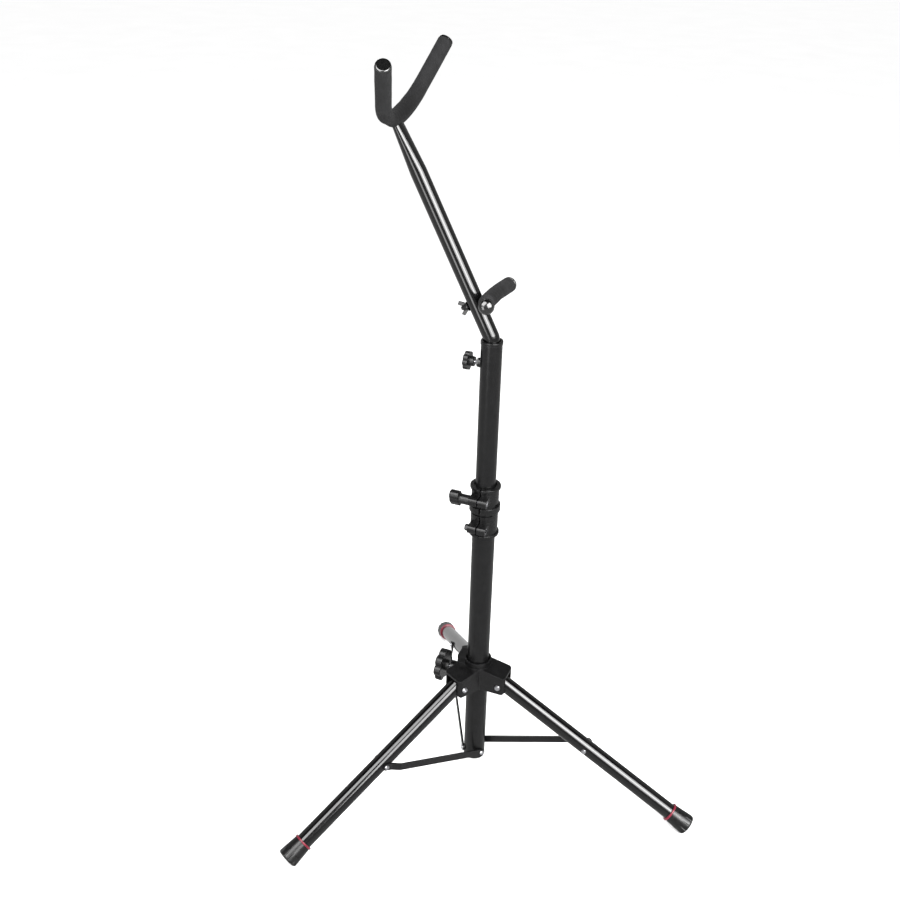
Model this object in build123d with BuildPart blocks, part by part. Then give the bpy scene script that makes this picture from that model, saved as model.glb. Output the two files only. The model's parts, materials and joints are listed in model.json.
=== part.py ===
"""Tall tripod stand for a saxophone, as an assembly of separate parts.

Three tubular legs hang from a hub that slides on the column and are held out by flat
braces.  A mast slides in the column, and a bent neck rod turns in the mast.  The rod
carries a padded yoke for the bell and a padded fork for the body of the instrument.

Millimetres, +Z up.  The origin is on the floor in the middle of the stand's footprint.
The column stands beside it, and leg 1 points along +X.
"""
from build123d import *
from math import acos, atan2, cos, hypot, radians, sin, tan
import os

# ---------------------------------------------------------------- driving dimensions
COLUMN_X = -100.0  # the column's axis, measured from the middle of the footprint
LEG_AZIMUTHS = (0, 120, 240)
RUNNING = 0.05  # radial clearance of a running fit
GAP = 0.3  # gap between parts that pass each other

COLUMN_R, COLUMN_WALL = 19.1, 1.5
COLUMN_BOTTOM, COLUMN_TOP = 34.0, 564.0
MAST_R, MAST_WALL = 16.7, 2.0
MAST_BOTTOM, MAST_TOP = 290.0, 853.0
MAST_CAP_TOP = 858.5

LEG_R, LEG_WALL = 14.0, 1.2
HUB_PIVOT_RADIUS, HUB_PIVOT_HEIGHT = 45.7, 217.0
FOOT_RADIUS, FOOT_HEIGHT = 403.5, 14.3  # middle of a foot's end face
LEG_HEAD = 10.0  # leg tube above its pivot
BRACE_ON_LEG = 188.0  # brace rivet, measured down the leg from its pivot
BRACE_PIVOT_HEIGHT = 48.0
BRACE_WIDTH, BRACE_THICKNESS = 13.0, 3.0

HUB_BOTTOM, HUB_TOP, HUB_REACH = 203.0, 247.0, 58.0
HUB_HALF_WIDTH, HUB_EDGE_HEIGHT = 21.5, 238.0
HUB_COLLAR_R, HUB_COLLAR_TOP = 23.8, 256.0
HUB_BORE_R = 21.4

CLAMP_BOTTOM, CLAMP_TOP = 517.0, 608.0
CLAMP_R, CLAMP_RIM_R = 22.6, 25.2
LUG_HALF_WIDTH, LUG_FRONT, LUG_HEIGHT = 15.5, 39.0, 14.0
KNOB_LUG_HEIGHT, BOLT_LUG_HEIGHT = 590.0, 538.5
CLAMP_BOLT_Y = -31.0

ROD_R, ROD_WALL = 12.6, 2.0
ROD_BOTTOM = 700.0
NECK_TURN = 4.4  # how far the neck rod is swung from -X towards -Y
ROD_CORNER_HEIGHT, ROD_LEAN, ROD_BEND_R = 860.5, 26.6, 22.0
ROD_REACH = 349.2  # from the bend's corner to the middle of the yoke bar
ROD_FLAT_LENGTH = 80.0
FORK_ON_ROD = 59.7  # fork bolt, measured up the rod from the bend's corner

YOKE_BAR_R, YOKE_FOAM_R = 6.0, 11.4
YOKE_ARC_R, YOKE_ARC_HALF_ANGLE, YOKE_ARM = 99.5, 49.2, 81.0
YOKE_TILT = 19.1  # the yoke's plane, from the vertical, back over the column
FORK_BAR_R, FORK_FOAM_R = 5.0, 12.0
FORK_OFFSET = 25.5  # from the rod's axis to the fork bar's axis
FORK_TILT = -2.4  # the fork's turn about its bolt, the +Y side down
FORK_FLAT, FORK_ARC_R, FORK_ARC_ANGLE, FORK_ARM = 18.0, 45.0, 19.0, 28.0

THUMB_SCREW_HEIGHT = 818.5
HUB_KNOB_HEIGHT = 218.5
M6_R, M8_R = 3.0, 4.0
BOLT_PLAY = 0.3  # radial clearance of a bolt in a plain hole

# ---------------------------------------------------------------- derived dimensions
LEG_RUN = FOOT_RADIUS - HUB_PIVOT_RADIUS
LEG_DROP = HUB_PIVOT_HEIGHT - FOOT_HEIGHT
LEG_LENGTH = hypot(LEG_RUN, LEG_DROP)
LEG_SLOPE = atan2(LEG_DROP, LEG_RUN)
BRACE_RUN = HUB_PIVOT_RADIUS + BRACE_ON_LEG * cos(LEG_SLOPE)
BRACE_RISE = HUB_PIVOT_HEIGHT - BRACE_ON_LEG * sin(LEG_SLOPE) - BRACE_PIVOT_HEIGHT
BRACE_LENGTH = hypot(BRACE_RUN, BRACE_RISE)
BRACE_SLOPE = atan2(BRACE_RISE, BRACE_RUN)
# Folded, the legs hang straight down beside the column, and the hub has slid up.
FOLDED_BRACE_SLOPE = acos(HUB_PIVOT_RADIUS / BRACE_LENGTH)
FOLDED_BRACE_TOP = BRACE_PIVOT_HEIGHT + BRACE_LENGTH * sin(FOLDED_BRACE_SLOPE)
HUB_TRAVEL = FOLDED_BRACE_TOP + BRACE_ON_LEG - HUB_PIVOT_HEIGHT
LEG_SWING = radians(90) - LEG_SLOPE
BRACE_SWING = FOLDED_BRACE_SLOPE - BRACE_SLOPE

os.makedirs("parts", exist_ok=True)


def finish(piece, name):
    """Label a finished piece and write it under its node's name."""
    piece.part.label = name
    export_step(piece.part, f"parts/{name}.step")


# ---------------------------------------------------------------- planes and axes
def level(height):
    """Horizontal plane on the column's axis."""
    return Plane(origin=(COLUMN_X, 0, height))


def outwards(azimuth):
    return Vector(cos(radians(azimuth)), sin(radians(azimuth)), 0)


def clockwise(azimuth):
    """Horizontal direction square to outwards, to its right as seen from above."""
    return Vector(sin(radians(azimuth)), -cos(radians(azimuth)), 0)


def upright(azimuth):
    """Plane through the column's axis: X outwards, Y up, normal clockwise."""
    return Plane(origin=(COLUMN_X, 0, 0), x_dir=outwards(azimuth), z_dir=clockwise(azimuth))


def leg_side(azimuth):
    """Plane of one leg: X down the leg from its pivot, Y square to it and upwards."""
    pivot = Vector(COLUMN_X, 0, HUB_PIVOT_HEIGHT) + outwards(azimuth) * HUB_PIVOT_RADIUS
    down = outwards(azimuth) * cos(LEG_SLOPE) - Vector(0, 0, sin(LEG_SLOPE))
    return Plane(origin=pivot, x_dir=down, z_dir=clockwise(azimuth))


def leg_axis(azimuth):
    plane = leg_side(azimuth)
    return Axis(plane.origin, plane.x_dir)


def leg_across(azimuth, distance):
    """Plane square to a leg at a distance down it, facing away from the hub."""
    plane = leg_side(azimuth)
    return Plane(origin=plane.origin + plane.x_dir * distance, x_dir=plane.z_dir, z_dir=plane.x_dir)


def brace_side(azimuth):
    """Plane of one brace's width: X along the bar from its pivot on the column."""
    along = outwards(azimuth) * cos(BRACE_SLOPE) + Vector(0, 0, sin(BRACE_SLOPE))
    return Plane(origin=(COLUMN_X, 0, BRACE_PIVOT_HEIGHT), x_dir=along, z_dir=clockwise(azimuth))


def brace_plan(azimuth):
    """Plane of one brace's thickness: X along the bar, Y anticlockwise from the axis."""
    side = brace_side(azimuth)
    return Plane(origin=side.origin, x_dir=side.x_dir, z_dir=side.y_dir)


def facing_back(height, y=0.0):
    """Upright plane on the column's axis that faces -X, with local X towards -Y."""
    return Plane(origin=(COLUMN_X, y, height), x_dir=(0, -1, 0), z_dir=(-1, 0, 0))


UP = Vector(0, 0, 1)
REARWARD = outwards(180 + NECK_TURN)  # the way the neck rod leans
ACROSS = outwards(90 + NECK_TURN)  # the way the yoke and the fork spread
LEAN, TILT, FORK_TURN = radians(ROD_LEAN), radians(YOKE_TILT), radians(FORK_TILT)
ROD_DIRECTION = REARWARD * sin(LEAN) + UP * cos(LEAN)
ROD_FORWARD = UP * sin(LEAN) - REARWARD * cos(LEAN)
YOKE_UP = UP * cos(TILT) - REARWARD * sin(TILT)
FORK_ACROSS = ACROSS * cos(FORK_TURN) + ROD_DIRECTION * sin(FORK_TURN)


def rod_point(distance, forward=0.0):
    """Point up the leaning rod from the bend's corner, and forward of its axis."""
    return Vector(COLUMN_X, 0, ROD_CORNER_HEIGHT) + ROD_DIRECTION * distance + ROD_FORWARD * forward


# Yoke and fork planes: local X runs towards +Y, and local Y opens towards the instrument.
YOKE_PLANE = Plane(origin=rod_point(ROD_REACH), x_dir=ACROSS, z_dir=ACROSS.cross(YOKE_UP))
FORK_PLANE = Plane(
    origin=rod_point(FORK_ON_ROD), x_dir=FORK_ACROSS, z_dir=FORK_ACROSS.cross(ROD_FORWARD)
)
# Plane of the wing nut's wings: local X runs up the rod, and local Y forwards.
WING_PLANE = Plane(
    origin=rod_point(FORK_ON_ROD), x_dir=ROD_DIRECTION, z_dir=ROD_DIRECTION.cross(ROD_FORWARD)
)


def across_rod(distance, forward=0.0):
    """Plane square to the leaning rod, facing up it."""
    return Plane(origin=rod_point(distance, forward), x_dir=ACROSS, z_dir=ROD_DIRECTION)


def along_fork_bolt(forward):
    """Plane square to the fork's bolt, facing forwards."""
    return Plane(origin=rod_point(FORK_ON_ROD, forward), x_dir=ACROSS, z_dir=ROD_FORWARD)


def lobed_outline(radius, lobes):
    """Rounded star of a hand knob, drawn in the current sketch."""
    lobe = radius * 0.37
    Circle(radius - 0.8 * lobe)
    with PolarLocations(radius - lobe, lobes):
        Circle(lobe)


# ---------------------------------------------------------------- column
BRACE_HOLE_R = 2.5
LOWER_RIVET_HEAD_R, UPPER_RIVET_HEAD_R = 4.6, 4.4
BRACE_INNER = COLUMN_R + GAP  # the bar's inner face beside the column
BRACE_OUTER = BRACE_INNER + BRACE_THICKNESS
BRACE_AT_LEG = LEG_R + GAP  # the bar's inner face beside the leg
RIVET_TAPER = 24
LOWER_RIVET_TAIL_R, LOWER_RIVET_TAIL = 4.0, 1.4  # the rivet's formed end inside the column
LOWER_RIVET_START = COLUMN_R - COLUMN_WALL - LOWER_RIVET_TAIL - 1.2
LOWER_RIVET_HEAD = 2.2
PLUG_FLANGE, BASE_PLUG_HEIGHT = 2.0, 8.0


def base_plug_profile():
    Rectangle(COLUMN_R, PLUG_FLANGE, align=(Align.MIN, Align.MIN))
    Rectangle(COLUMN_R - COLUMN_WALL, BASE_PLUG_HEIGHT, align=(Align.MIN, Align.MIN))


with BuildPart() as column_tube:
    with BuildSketch(level(COLUMN_BOTTOM + PLUG_FLANGE)):
        Circle(COLUMN_R)
        Circle(COLUMN_R - COLUMN_WALL, mode=Mode.SUBTRACT)
    extrude(amount=COLUMN_TOP - COLUMN_BOTTOM - PLUG_FLANGE)
    for azimuth in LEG_AZIMUTHS:
        with BuildSketch(brace_side(azimuth)):
            Circle(BRACE_HOLE_R)
        extrude(amount=-COLUMN_R - 1, mode=Mode.SUBTRACT)
finish(column_tube, "column_tube")

with BuildPart() as column_base_plug:
    with BuildSketch(upright(0)):
        with Locations((0, COLUMN_BOTTOM)):
            base_plug_profile()
    revolve(axis=Axis((COLUMN_X, 0, 0), (0, 0, 1)))
finish(column_base_plug, "column_base_plug")

with BuildPart() as brace_rivets_lower:
    for azimuth in LEG_AZIMUTHS:
        with BuildSketch(brace_side(azimuth).offset(-LOWER_RIVET_START)):
            Circle(LOWER_RIVET_TAIL_R)
        extrude(amount=-LOWER_RIVET_TAIL)
        with BuildSketch(brace_side(azimuth).offset(-LOWER_RIVET_START)):
            Circle(BRACE_HOLE_R)
        extrude(amount=LOWER_RIVET_START - BRACE_OUTER - LOWER_RIVET_HEAD / 2)
        with BuildSketch(brace_side(azimuth).offset(-BRACE_OUTER - RUNNING)):
            Circle(LOWER_RIVET_HEAD_R)
        extrude(amount=-LOWER_RIVET_HEAD, taper=RIVET_TAPER)
finish(brace_rivets_lower, "brace_rivets_lower")

# ---------------------------------------------------------------- clamp
SLIT = 3.0
RIM_HEIGHT, RIM_ROUND = 5.0, 0.9
MID_RING_R = 25.6
MID_RING_BOTTOM, MID_RING_TOP = 561.5, 573.0
SLOT_HEIGHT, SLOT_SWEEP = 4.4, 130
LOWER_SLOT_START, UPPER_SLOT_START = 195, -25  # azimuths
NUT_POCKET_DEPTH = 5.5
M6_NUT_FLATS, M6_NUT_HEIGHT = 10.0, 5.0
BUSH_R = COLUMN_R - 0.1
LUG_ROUND = 4.5

COLLAR_BANDS = (
    (CLAMP_R, CLAMP_BOTTOM, CLAMP_TOP),
    (CLAMP_RIM_R, CLAMP_BOTTOM, CLAMP_BOTTOM + RIM_HEIGHT),
    (CLAMP_RIM_R, CLAMP_TOP - RIM_HEIGHT, CLAMP_TOP),
    (MID_RING_R, MID_RING_BOTTOM, MID_RING_TOP),
)


def ring_sector(start_azimuth, sweep_angle):
    """Sector that cuts through the collar's wall over part of its circumference."""
    reach = CLAMP_RIM_R + 10
    corners = [
        (reach * cos(radians(angle)), reach * sin(radians(angle)))
        for angle in (start_azimuth, start_azimuth + sweep_angle / 2, start_azimuth + sweep_angle)
    ]
    Polygon((0, 0), *corners, align=None)


with BuildPart() as clamp_collar:
    for radius, bottom, top in COLLAR_BANDS:
        with BuildSketch(level(bottom)):
            Circle(radius)
        extrude(amount=top - bottom)
    rims = clamp_collar.edges().filter_by(GeomType.CIRCLE).filter_by(lambda e: e.radius > CLAMP_R + 0.1)
    fillet(rims, radius=RIM_ROUND)
    for height in (KNOB_LUG_HEIGHT, BOLT_LUG_HEIGHT):
        with BuildSketch(level(height - LUG_HEIGHT / 2)):
            Rectangle(2 * LUG_HALF_WIDTH, LUG_FRONT, align=(Align.CENTER, Align.MAX))
        extrude(amount=LUG_HEIGHT)
    fronts = clamp_collar.edges().filter_by(Axis.X).filter_by(lambda e: e.center().Y < 1 - LUG_FRONT)
    fillet(fronts, radius=LUG_ROUND)
    with BuildSketch(level(CLAMP_BOTTOM)):
        Circle(COLUMN_R)
    extrude(amount=CLAMP_TOP - CLAMP_BOTTOM, mode=Mode.SUBTRACT)
    with BuildSketch(level(CLAMP_BOTTOM)):
        Rectangle(SLIT, LUG_FRONT + 2, align=(Align.CENTER, Align.MAX))
    extrude(amount=CLAMP_TOP - CLAMP_BOTTOM, mode=Mode.SUBTRACT)
    slots = ((MID_RING_BOTTOM - SLOT_HEIGHT, LOWER_SLOT_START), (MID_RING_TOP, UPPER_SLOT_START))
    for height, start_azimuth in slots:
        with BuildSketch(level(height)):
            ring_sector(start_azimuth, SLOT_SWEEP)
        extrude(amount=SLOT_HEIGHT, mode=Mode.SUBTRACT)
    for height in (KNOB_LUG_HEIGHT, BOLT_LUG_HEIGHT):
        with BuildSketch(facing_back(height, CLAMP_BOLT_Y)):
            Circle(M6_R + BOLT_PLAY)
        extrude(amount=LUG_HALF_WIDTH, both=True, mode=Mode.SUBTRACT)
        with BuildSketch(facing_back(height, CLAMP_BOLT_Y).offset(NUT_POCKET_DEPTH - LUG_HALF_WIDTH)):
            RegularPolygon(M6_NUT_FLATS / 2 + 0.2, 6, major_radius=False)
        extrude(amount=-NUT_POCKET_DEPTH, mode=Mode.SUBTRACT)
finish(clamp_collar, "clamp_collar")

BUSH_GAP = 1.0  # between the bush and the column's top
with BuildPart() as clamp_inner_bush:
    with BuildSketch(level(COLUMN_TOP + BUSH_GAP)):
        Circle(BUSH_R)
        Circle(MAST_R + RUNNING, mode=Mode.SUBTRACT)
        Rectangle(SLIT, COLUMN_R + 1, align=(Align.CENTER, Align.MAX), mode=Mode.SUBTRACT)
    extrude(amount=CLAMP_TOP - COLUMN_TOP - 4 * BUSH_GAP)
finish(clamp_inner_bush, "clamp_inner_bush")

HEX_HEAD, BOLT_POINT = 6.0, 0.6
with BuildPart() as clamp_fixing_bolt:
    with BuildSketch(facing_back(BOLT_LUG_HEIGHT, CLAMP_BOLT_Y).offset(LUG_HALF_WIDTH)):
        RegularPolygon(M6_NUT_FLATS / 2, 6, major_radius=False)
    extrude(amount=HEX_HEAD)
    with BuildSketch(facing_back(BOLT_LUG_HEIGHT, CLAMP_BOLT_Y).offset(LUG_HALF_WIDTH)):
        Circle(M6_R)
    extrude(amount=-2 * LUG_HALF_WIDTH - 1.0)
    chamfer(clamp_fixing_bolt.faces().sort_by(Axis.X)[0].edges(), length=BOLT_POINT)
finish(clamp_fixing_bolt, "clamp_fixing_bolt")


def lug_nut(height, bore):
    """Hex nut seated in the pocket on a lug's +X face."""
    with BuildPart() as nut:
        with BuildSketch(facing_back(height, CLAMP_BOLT_Y).offset(NUT_POCKET_DEPTH - LUG_HALF_WIDTH)):
            RegularPolygon(M6_NUT_FLATS / 2, 6, major_radius=False)
            Circle(bore, mode=Mode.SUBTRACT)
        extrude(amount=-M6_NUT_HEIGHT)
    return nut


clamp_fixing_nut = lug_nut(BOLT_LUG_HEIGHT, M6_R)
finish(clamp_fixing_nut, "clamp_fixing_nut")
clamp_knob_nut = lug_nut(KNOB_LUG_HEIGHT, M6_R + RUNNING)
finish(clamp_knob_nut, "clamp_knob_nut")

# Tee-headed clamping knob: a round neck and a cross bar with rounded ends.
TEE_NECK_R, TEE_NECK_END, TEE_HEAD_END = 8.4, 32.0, 47.5
TEE_LENGTH, TEE_WIDTH, TEE_TURN = 31.0, 17.0, 62.0
TEE_ROUND, TEE_SKIN = 2.0, 6.0  # the skin closes the stud's hole at the head
with BuildPart() as clamp_knob_grip:
    with BuildSketch(facing_back(KNOB_LUG_HEIGHT, CLAMP_BOLT_Y).offset(LUG_HALF_WIDTH + GAP)):
        Circle(TEE_NECK_R)
    extrude(amount=TEE_NECK_END - LUG_HALF_WIDTH - GAP)
    with BuildSketch(facing_back(KNOB_LUG_HEIGHT, CLAMP_BOLT_Y).offset(TEE_NECK_END)):
        SlotOverall(TEE_LENGTH, TEE_WIDTH, rotation=TEE_TURN)
        Circle(TEE_WIDTH / 2 + 1.4)
    extrude(amount=TEE_HEAD_END - TEE_NECK_END)
    fillet(clamp_knob_grip.faces().sort_by(Axis.X)[0].edges(), radius=TEE_ROUND)
    with BuildSketch(facing_back(KNOB_LUG_HEIGHT, CLAMP_BOLT_Y)):
        Circle(M6_R)
    extrude(amount=TEE_HEAD_END - TEE_SKIN, mode=Mode.SUBTRACT)
finish(clamp_knob_grip, "clamp_knob_grip")

with BuildPart() as clamp_knob_stud:
    with BuildSketch(facing_back(KNOB_LUG_HEIGHT, CLAMP_BOLT_Y).offset(-LUG_HALF_WIDTH)):
        Circle(M6_R)
    extrude(amount=TEE_HEAD_END - TEE_SKIN + LUG_HALF_WIDTH)
    chamfer(clamp_knob_stud.faces().sort_by(Axis.X)[-1].edges(), length=BOLT_POINT)
finish(clamp_knob_stud, "clamp_knob_stud")

# ---------------------------------------------------------------- hub
CHANNEL_HALF_WIDTH, CHANNEL_START, HUB_PLATE = 14.8, 26.6, 3.0
PIVOT_R, PIVOT_HEAD_R, PIVOT_HEAD = 3.0, 5.2, 2.2
PIVOT_HOLLOW_R, PIVOT_HOLLOW = 2.1, 1.6  # hollow in the formed end of a pivot rivet
ARM_ROUND, BLOCK_BEVEL = 7.0, 3.0
BOSS_R, BOSS_END = 12.0, 50.0
BLOCK_END, BLOCK_HALF_WIDTH, BLOCK_BOTTOM = 35.0, 13.5, 228.0
M8_NUT_FLATS, M8_NUT_HEIGHT = 13.0, 6.5
ARM_SLOPE_START = HUB_HALF_WIDTH * tan(radians(30))  # where two arms' walls meet


def hub_plan():
    """Three arms with rounded outer corners, seen from above."""
    for azimuth in LEG_AZIMUTHS:
        with Locations(Location((0, 0, 0), (0, 0, azimuth))):
            with Locations((HUB_REACH / 2, 0)):
                RectangleRounded(HUB_REACH, 2 * HUB_HALF_WIDTH, ARM_ROUND)
            Rectangle(HUB_REACH / 2, 2 * HUB_HALF_WIDTH, align=(Align.MIN, Align.CENTER))


def arm_trim():
    """What is cut from above and from the outer lower corner of an arm."""
    reach = HUB_REACH + 2.0
    Polygon(
        (ARM_SLOPE_START, HUB_TOP), (HUB_REACH, HUB_EDGE_HEIGHT), (reach, HUB_EDGE_HEIGHT),
        (reach, HUB_TOP + 1), (ARM_SLOPE_START, HUB_TOP + 1), align=None,
    )
    Polygon((HUB_REACH - 5, HUB_BOTTOM - 1), (reach, HUB_BOTTOM - 1), (reach, HUB_BOTTOM + 5), align=None)


with BuildPart() as hub_body:
    with BuildSketch(level(HUB_BOTTOM)):
        hub_plan()
    extrude(amount=HUB_TOP - HUB_BOTTOM)
    for azimuth in LEG_AZIMUTHS:
        with BuildSketch(upright(azimuth)):
            arm_trim()
        extrude(amount=HUB_HALF_WIDTH, both=True, mode=Mode.SUBTRACT)
        with BuildSketch(upright(azimuth)):
            Polygon(
                (CHANNEL_START, HUB_BOTTOM - 1), (HUB_REACH + 1, HUB_BOTTOM - 1),
                (HUB_REACH + 1, HUB_EDGE_HEIGHT - HUB_PLATE), (CHANNEL_START, HUB_EDGE_HEIGHT + 1),
                align=None,
            )
        extrude(amount=CHANNEL_HALF_WIDTH, both=True, mode=Mode.SUBTRACT)
    with BuildSketch(level(HUB_BOTTOM)):
        Circle(HUB_COLLAR_R)
    extrude(amount=HUB_COLLAR_TOP - HUB_BOTTOM)
    with BuildSketch(facing_back(HUB_KNOB_HEIGHT)):
        Circle(BOSS_R)
    extrude(amount=BOSS_END)
    with BuildSketch(level(BLOCK_BOTTOM)):
        Rectangle(BLOCK_END, 2 * BLOCK_HALF_WIDTH, align=(Align.MAX, Align.CENTER))
    extrude(amount=HUB_COLLAR_TOP + 1 - BLOCK_BOTTOM)
    block_corners = hub_body.edges().filter_by(Axis.Z).filter_by(
        lambda e: abs(e.center().X - COLUMN_X + BLOCK_END) < 0.1
    )
    chamfer(block_corners, length=BLOCK_BEVEL)
    with BuildSketch(level(HUB_BOTTOM)):
        Circle(HUB_BORE_R)
    extrude(amount=HUB_COLLAR_TOP + 2 - HUB_BOTTOM, mode=Mode.SUBTRACT)
    with BuildSketch(facing_back(HUB_KNOB_HEIGHT)):
        Circle(M8_R + BOLT_PLAY)
    extrude(amount=BOSS_END, mode=Mode.SUBTRACT)
    with BuildSketch(facing_back(HUB_KNOB_HEIGHT).offset(BOSS_END - M8_NUT_HEIGHT)):
        RegularPolygon(M8_NUT_FLATS / 2, 6, major_radius=False)
    extrude(amount=M8_NUT_HEIGHT, mode=Mode.SUBTRACT)
    for azimuth in LEG_AZIMUTHS:
        with BuildSketch(leg_side(azimuth)):
            Circle(PIVOT_R)
        extrude(amount=HUB_HALF_WIDTH + 1, both=True, mode=Mode.SUBTRACT)
finish(hub_body, "hub_body")

with BuildPart() as hub_bush:
    with BuildSketch(level(HUB_BOTTOM + 1)):
        Circle(HUB_BORE_R)
        Circle(COLUMN_R + RUNNING, mode=Mode.SUBTRACT)
    extrude(amount=HUB_TOP - HUB_BOTTOM - 4)
    with BuildSketch(facing_back(HUB_KNOB_HEIGHT)):
        Circle(M8_R + BOLT_PLAY)
    extrude(amount=HUB_COLLAR_R, mode=Mode.SUBTRACT)
finish(hub_bush, "hub_bush")

with BuildPart() as hub_pivot_rivets:
    for azimuth in LEG_AZIMUTHS:
        with BuildSketch(leg_side(azimuth)):
            Circle(PIVOT_R)
        extrude(amount=HUB_HALF_WIDTH + 0.5, both=True)
        for side in (-1, 1):
            with BuildSketch(leg_side(azimuth).offset(side * HUB_HALF_WIDTH)):
                Circle(PIVOT_HEAD_R)
            extrude(amount=side * PIVOT_HEAD, taper=RIVET_TAPER)
        with BuildSketch(leg_side(azimuth).offset(-HUB_HALF_WIDTH - PIVOT_HEAD)):
            Circle(PIVOT_HOLLOW_R)
        extrude(amount=PIVOT_HOLLOW, mode=Mode.SUBTRACT)
finish(hub_pivot_rivets, "hub_pivot_rivets")

with BuildPart() as hub_knob_nut:
    with BuildSketch(facing_back(HUB_KNOB_HEIGHT).offset(BOSS_END - M8_NUT_HEIGHT)):
        RegularPolygon(M8_NUT_FLATS / 2, 6, major_radius=False)
        Circle(M8_R + RUNNING, mode=Mode.SUBTRACT)
    extrude(amount=M8_NUT_HEIGHT - 0.2)
finish(hub_knob_nut, "hub_knob_nut")

HUB_KNOB_R, HUB_KNOB_BACK, HUB_KNOB_FACE = 29.5, 61.5, 74.0
HUB_KNOB_NECK_R, HUB_KNOB_NECK_END = 10.0, 54.0
KNOB_SKIN = 4.0  # closes the stud's hole at the grip's face
FACE_ROUND, BACK_ROUND = 2.2, 1.5
with BuildPart() as hub_knob_grip:
    with BuildSketch(facing_back(HUB_KNOB_HEIGHT).offset(HUB_KNOB_BACK)):
        lobed_outline(HUB_KNOB_R, 7)
    extrude(amount=HUB_KNOB_FACE - HUB_KNOB_BACK)
    fillet(hub_knob_grip.faces().sort_by(Axis.X)[0].edges(), radius=FACE_ROUND)
    fillet(hub_knob_grip.faces().sort_by(Axis.X)[-1].edges(), radius=BACK_ROUND)
    with BuildSketch(facing_back(HUB_KNOB_HEIGHT).offset(HUB_KNOB_NECK_END)):
        Circle(HUB_KNOB_NECK_R)
    extrude(amount=HUB_KNOB_BACK - HUB_KNOB_NECK_END)
    with BuildSketch(facing_back(HUB_KNOB_HEIGHT)):
        Circle(M8_R)
    extrude(amount=HUB_KNOB_FACE - KNOB_SKIN, mode=Mode.SUBTRACT)
finish(hub_knob_grip, "hub_knob_grip")

with BuildPart() as hub_knob_stud:
    with BuildSketch(facing_back(HUB_KNOB_HEIGHT).offset(COLUMN_R + GAP)):
        Circle(M8_R)
    extrude(amount=HUB_KNOB_FACE - KNOB_SKIN - COLUMN_R - GAP)
    chamfer(hub_knob_stud.faces().sort_by(Axis.X)[-1].edges(), length=BOLT_POINT)
finish(hub_knob_stud, "hub_knob_stud")

# ---------------------------------------------------------------- legs
FOOT_END_R, FOOT_MOUTH_R, FOOT_LENGTH = 18.8, 15.8, 37.0
FOOT_ROUND, FOOT_FLUTES, FLUTE_R = 4.0, 12, 2.0
FLUTE_OUTSIDE, FLUTE_LENGTH = 0.6, 22.0
FOOT_TREAD = 9.0  # solid rubber below the tube's end
RING_WIDTH, RING_R, RING_ROUND = 3.2, 17.0, 1.1
TUBE_END = LEG_LENGTH - FOOT_TREAD
PLUG_LENGTH, PLUG_RIM, PLUG_ROUND = 22.0, 1.8, 1.2
LEG_RIVET_HEAD, LEG_RIVET_SINK = 1.9, 0.2


def leg_tube(azimuth):
    with BuildPart() as tube:
        with BuildSketch(leg_across(azimuth, -LEG_HEAD)):
            Circle(LEG_R)
            Circle(LEG_R - LEG_WALL, mode=Mode.SUBTRACT)
        extrude(amount=TUBE_END + LEG_HEAD)
        with BuildSketch(leg_side(azimuth)):
            Circle(PIVOT_R + GAP)
            with Locations((BRACE_ON_LEG, 0)):
                Circle(BRACE_HOLE_R)
        extrude(amount=LEG_R + 1, both=True, mode=Mode.SUBTRACT)
    return tube


def leg_top_plug(azimuth):
    """Nylon plug in the tube's top end, which turns on the pivot rivet."""
    with BuildPart() as plug:
        with BuildSketch(leg_across(azimuth, -LEG_HEAD)):
            Circle(LEG_R - LEG_WALL)
        extrude(amount=PLUG_LENGTH)
        with BuildSketch(leg_across(azimuth, -LEG_HEAD)):
            Circle(LEG_R)
        extrude(amount=-PLUG_RIM)
        fillet(plug.faces().sort_by(leg_axis(azimuth))[0].edges(), radius=PLUG_ROUND)
        with BuildSketch(leg_side(azimuth)):
            Circle(PIVOT_R + RUNNING)
        extrude(amount=LEG_R, both=True, mode=Mode.SUBTRACT)
    return plug


def leg_foot(azimuth):
    """Flared rubber foot with flutes that run out along its side, flat where it stands."""
    with BuildPart() as foot:
        with BuildSketch(leg_side(azimuth)):
            Polygon(
                (LEG_LENGTH - FOOT_LENGTH, 0), (LEG_LENGTH, 0), (LEG_LENGTH, FOOT_END_R),
                (LEG_LENGTH - FOOT_LENGTH, FOOT_MOUTH_R), align=None,
            )
        revolve(axis=leg_axis(azimuth))
        fillet(foot.edges().sort_by(leg_axis(azimuth))[-1], radius=FOOT_ROUND)
        with BuildSketch(leg_across(azimuth, LEG_LENGTH)):
            with PolarLocations(FOOT_END_R + FLUTE_OUTSIDE, FOOT_FLUTES, start_angle=180 / FOOT_FLUTES):
                Circle(FLUTE_R)
        extrude(amount=-FLUTE_LENGTH, mode=Mode.SUBTRACT)
        with BuildSketch(leg_across(azimuth, LEG_LENGTH - FOOT_LENGTH)):
            Circle(LEG_R)
        extrude(amount=FOOT_LENGTH - FOOT_TREAD, mode=Mode.SUBTRACT)
        below = foot.part.bounding_box().min
        with BuildSketch(Plane(origin=(below.X, below.Y, 0))):
            Rectangle(2 * FOOT_LENGTH, 2 * FOOT_LENGTH, align=(Align.MIN, Align.MIN))
        extrude(amount=2 * below.Z, mode=Mode.SUBTRACT)
    return foot


def leg_ring(azimuth):
    with BuildPart() as ring:
        with BuildSketch(leg_across(azimuth, LEG_LENGTH - FOOT_LENGTH - RING_WIDTH)):
            Circle(RING_R)
            Circle(LEG_R, mode=Mode.SUBTRACT)
        extrude(amount=RING_WIDTH)
        rims = ring.edges().filter_by(GeomType.CIRCLE).filter_by(lambda e: e.radius > LEG_R + 0.1)
        fillet(rims, radius=RING_ROUND)
    return ring


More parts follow.
